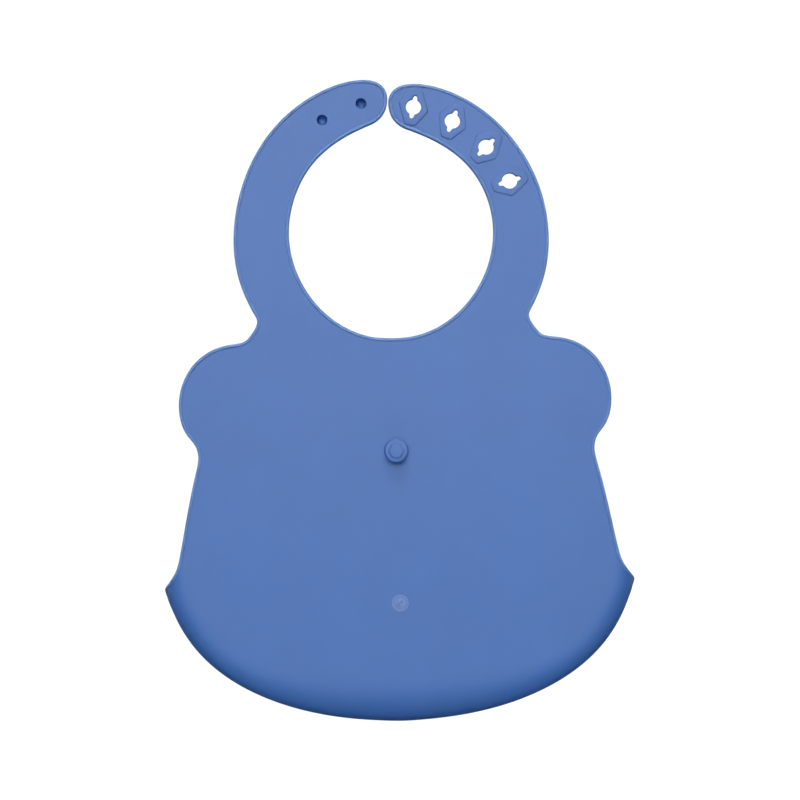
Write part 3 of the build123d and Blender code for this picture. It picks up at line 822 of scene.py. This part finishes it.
# ------------------------------------------------------- turned small pieces
def turned(name, profile, centre, material, n=72):
    """Revolved about Y through centre (x, z); profile is (radius, y) points."""
    verts, faces = [], []
    rings = []
    profile = [p for i, p in enumerate(profile) if i == 0 or math.dist(p, profile[i - 1]) > 1e-6]
    for r, y in profile:
        if r < 1e-6:
            rings.append([len(verts)])
            verts.append((centre[0], y, centre[1]))
        else:
            rings.append(list(range(len(verts), len(verts) + n)))
            verts += [(centre[0] + r * math.cos(2 * math.pi * k / n), y, centre[1] + r * math.sin(2 * math.pi * k / n)) for k in range(n)]
    for a, b in zip(rings, rings[1:]):
        for k in range(n):
            j = (k + 1) % n
            if len(a) == 1:
                faces.append((a[0], b[j], b[k]))
            elif len(b) == 1:
                faces.append((a[k], a[j], b[0]))
            else:
                faces.append((a[k], a[j], b[j], b[k]))
    obj = new_object(name, verts, faces, material)
    bm_ = bmesh.new()
    bm_.from_mesh(obj.data)
    bmesh.ops.recalc_face_normals(bm_, faces=bm_.faces)
    bm_.to_mesh(obj.data)
    bm_.free()
    obj.data.set_sharp_from_angle(angle=math.radians(48))
    return obj


def arc(cx, cy, r, a0, a1, n=7):
    return [(cx + r * math.cos(math.radians(a0 + (a1 - a0) * k / (n - 1))), cy + r * math.sin(math.radians(a0 + (a1 - a0) * k / (n - 1)))) for k in range(n)]


for k, (x, z) in enumerate(STUDS, 1):
    y0 = -HALF
    prof = [(0, -3.72)] + arc(0, -1.3, 2.42, -90, 0, 14)[1:]
    prof += [(2.42, -0.5), (2.7, -0.5), (2.7, -1.0), (3.4, -1.0)] + arc(3.9, -1.6, 0.5, 90, 180, 6)[1:]
    prof += [(3.4, -3.9)] + arc(4.35, -5.05, 0.65, 90, -10, 9) + [(4.7, -6.2), (3.7, -6.95), (2.2, -7.28), (0, -7.36)]
    s_ = turned("snap_stud_%d" % k, prof, (x, z), BLUE)
    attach(s_, "stud_strap_end")
    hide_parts("stud_%d" % k)

stem = turned("button_stem", [(0, 0.9), (4.3, 0.9)] + [(4.3, 1.1)] + arc(4.2, 1.9, 0.8, -90, -180, 6) + [(3.4, 4.2), (0, 4.2)], (0, BUTTON_Z), BLUE)
head = turned("button_head", [(0, 4.1), (4.9, 4.1)] + arc(4.85, 4.85, 0.75, -90, 0, 7) + arc(4.75, 5.75, 0.85, 0, 90, 8)[0:] + [(0, 6.6)], (0, BUTTON_Z), BLUE)
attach(stem, "chest")
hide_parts("roll_button_stem")
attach(head, "chest")
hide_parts("roll_button_head")


def rounded_polygon(corners, radius, n=7):
    c = np.array(corners, float)
    out = []
    for i in range(len(c)):
        a, b, d_ = c[i - 1], c[i], c[(i + 1) % len(c)]
        u, v = (a - b) / np.linalg.norm(a - b), (d_ - b) / np.linalg.norm(d_ - b)
        half = math.acos(np.clip(u @ v, -1, 1)) / 2
        t = radius / math.tan(half)
        p0, p1 = b + u * t, b + v * t
        mid = b + (u + v) / np.linalg.norm(u + v) * (radius / math.sin(half))
        a0 = math.atan2(*(p0 - mid)[::-1])
        a1 = math.atan2(*(p1 - mid)[::-1])
        da = (a1 - a0 + math.pi) % (2 * math.pi) - math.pi
        out += [mid + radius * np.array([math.cos(a0 + da * k / (n - 1)), math.sin(a0 + da * k / (n - 1))]) for k in range(n)]
    return np.array(out)


def dense(loop, step=0.5):
    q = np.concatenate([loop, loop[:1]])
    n = int(np.linalg.norm(np.diff(q, axis=0), axis=1).sum() / step)
    return resample(q, count=n + 1)[:-1]


hexagon = rounded_polygon([(3.7 * math.cos(math.radians(60 * k)), BUTTON_Z + 3.7 * math.sin(math.radians(60 * k))) for k in range(6)], 0.4)
hx = plate("button_hexagon", dense(hexagon, 0.3), [], BLUE, y_lo=6.5, y_hi=7.35, outer_round=0.45, grid=2.0)
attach(hx, "chest")
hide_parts("roll_button_hexagon")

for k, (x, z, tilt) in enumerate(KEYHOLES, 1):
    a = math.radians(tilt)
    ring = [(x + u * math.cos(a) - v * math.sin(a), z + u * math.sin(a) + v * math.cos(a)) for u, v in PAD]
    ring = dense(anticlockwise(rounded_polygon(ring, 1.7)), 0.35)
    o = plate("keyhole_pad_face_%d" % k, ring, [keyhole(x, z, tilt)], BLUE, y_lo=0.95, y_hi=HALF + PAD_H, rounding=0.3, outer_round=0.35, grid=1.5)
    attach(o, "keyhole_strap_end" if k <= 2 else "keyhole_strap")
    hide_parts("keyhole_pad_%d" % k)

# date dial: disc, ring, ticks and a pointer
disc = turned("dial_disc", [(0, 0.9), (3.95, 0.9), (3.95, 1.22)] + arc(3.8, 1.22, 0.15, 0, 90, 5) + [(3.0, 1.37), (2.9, 1.30), (2.75, 1.30), (2.65, 1.37), (0, 1.37)], (0, DIAL_Z), DIALM)
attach(disc, "lower_bib")
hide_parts("date_dial")


def bar(name, x, z, length, width, tilt, y0, y1, material, body):
    a = math.radians(tilt)
    c = [(-width / 2, -length / 2), (width / 2, -length / 2), (width / 2, length / 2), (-width / 2, length / 2)]
    ring = [(x + u * math.cos(a) - v * math.sin(a), z + u * math.sin(a) + v * math.cos(a)) for u, v in c]
    o = plate(name, dense(rounded_polygon(ring, min(width, length) * 0.3, 4), 0.12), [], material, y_lo=y0, y_hi=y1, outer_round=0.05, grid=3.0)
    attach(o, body)
    return o


for k in range(16):
    t = math.radians(22.5 * k)
    bar("dial_tick_%02d" % k, -3.05 * math.sin(t), DIAL_Z + 3.05 * math.cos(t), 0.95, 0.3, 22.5 * k, 1.27, 1.43, MARK, "lower_bib")
for k in range(6):
    t = math.radians(60 * k + 20)
    bar("dial_inner_%02d" % k, -1.35 * math.sin(t), DIAL_Z + 1.35 * math.cos(t), 0.5, 0.3, 60 * k + 20, 1.27, 1.43, MARK, "lower_bib")
bar("dial_pointer", 0.05, DIAL_Z + 0.1, 3.6, 0.3, 50, 1.29, 1.47, POINTER, "lower_bib")

# ------------------------------------------------------------- studio, camera
def plain(name, color, rough=0.9):
    m = bpy.data.materials.new(name)
    m.use_nodes = True
    b = m.node_tree.nodes["Principled BSDF"]
    b.inputs["Base Color"].default_value = (*color, 1)
    b.inputs["Roughness"].default_value = rough
    b.inputs["Specular IOR Level"].default_value = 0.1
    return m


def panel(name, corners, material):
    mesh = bpy.data.meshes.new(name)
    mesh.from_pydata(corners, [], [(0, 1, 2, 3)])
    mesh.update()
    mesh.materials.append(material)
    o = bpy.data.objects.new(name, mesh)
    bpy.context.scene.collection.objects.link(o)
    return o


pale = plain("floor_pale", (0.80, 0.80, 0.80))
pale.node_tree.nodes["Principled BSDF"].inputs["Emission Color"].default_value = (1, 1, 1, 1)
pale.node_tree.nodes["Principled BSDF"].inputs["Emission Strength"].default_value = 0.72
floor = panel("floor", [(-4, -4, -2.0), (4, -4, -2.0), (4, 4, -2.0), (-4, 4, -2.0)], pale)
floor.visible_diffuse = False
floor.visible_glossy = False
glow = bpy.data.materials.new("backdrop_white")
glow.use_nodes = True
nt = glow.node_tree
for node in list(nt.nodes):
    if node.type == "BSDF_PRINCIPLED":
        nt.nodes.remove(node)
em = nt.nodes.new("ShaderNodeEmission")
em.inputs["Color"].default_value = (1, 1, 1, 1)
em.inputs["Strength"].default_value = 1.05
nt.links.new(em.outputs["Emission"], nt.nodes["Material Output"].inputs["Surface"])
for k, (a, b) in enumerate((((-3.5, -2.6), (3.5, -2.6)), ((3.5, -2.6), (3.5, 3.5)), ((3.5, 3.5), (-3.5, 3.5)), ((-3.5, 3.5), (-3.5, -2.6)))):
    wall = panel("backdrop_%d" % k, [(a[0], a[1], -2.0), (b[0], b[1], -2.0), (b[0], b[1], 3.0), (a[0], a[1], 3.0)], glow)
    wall.visible_diffuse = False
    wall.visible_glossy = False
    wall.visible_transmission = False


def area(name, place, aim, sx, sy, watts, color=(1, 1, 1), spread=180):
    light = bpy.data.lights.new(name, "AREA")
    light.shape = "RECTANGLE"
    light.size, light.size_y = sx, sy
    light.energy = watts
    light.color = color
    light.spread = math.radians(spread)
    o = bpy.data.objects.new(name, light)
    o.location = place
    o.rotation_euler = (Vector(aim) - Vector(place)).to_track_quat("-Z", "Y").to_euler()
    bpy.context.scene.collection.objects.link(o)
    return o


area("key_front", (0.0, 2.0, 0.6), (0.0, 0.0, -0.10), 1.9, 1.1, 5.0, spread=45)
area("key_above", (0.0, 0.8, 1.5), (0.0, 0.0, -0.08), 1.2, 0.4, 2.1, spread=60)
area("fill_low", (0.0, 1.8, -0.8), (0.0, 0.0, -0.12), 2.2, 1.2, 1.8, color=(0.6, 0.84, 1.0), spread=45)
area("fill_under", (0.0, 0.35, -1.3), (0.0, 0.0, -0.2), 1.4, 0.5, 0.5, color=(0.3, 0.62, 1.0), spread=60)
area("fill_front", (0.0, -1.6, 1.0), (0.0, 0.0, -0.1), 1.8, 1.2, 4.6, spread=60)
area("fill_side_a", (1.6, -0.9, 0.3), (0.0, 0.0, -0.1), 0.9, 0.9, 1.5, spread=60)
area("fill_side_b", (-1.6, -0.9, 0.3), (0.0, 0.0, -0.1), 0.9, 0.9, 1.5, spread=60)

world = bpy.data.worlds.new("studio")
world.use_nodes = True
world.node_tree.nodes["Background"].inputs["Color"].default_value = (1, 1, 1, 1)
world.node_tree.nodes["Background"].inputs["Strength"].default_value = 0.04
bpy.context.scene.world = world
bpy.context.scene.view_settings.view_transform = "Standard"
bpy.context.scene.view_settings.look = "None"

cam_data = bpy.data.cameras.new("camera")
cam = bpy.data.objects.new("camera", cam_data)
bpy.context.scene.collection.objects.link(cam)
DIST = 0.80
cam_data.sensor_width = 36.0
cam_data.lens = 36.0 * (DIST - 0.0011) / 0.375
cam.location = (-0.0023, DIST, -0.0788)
quat = Vector((0, -1, 0)).to_track_quat("-Z", "Y")
cam.rotation_mode = "QUATERNION"
from mathutils import Quaternion
ROLL = math.radians(1.42)
cam.rotation_quaternion = Quaternion((0, -1, 0), ROLL) @ quat
cam_data.dof.use_dof = False
bpy.context.scene.camera = cam
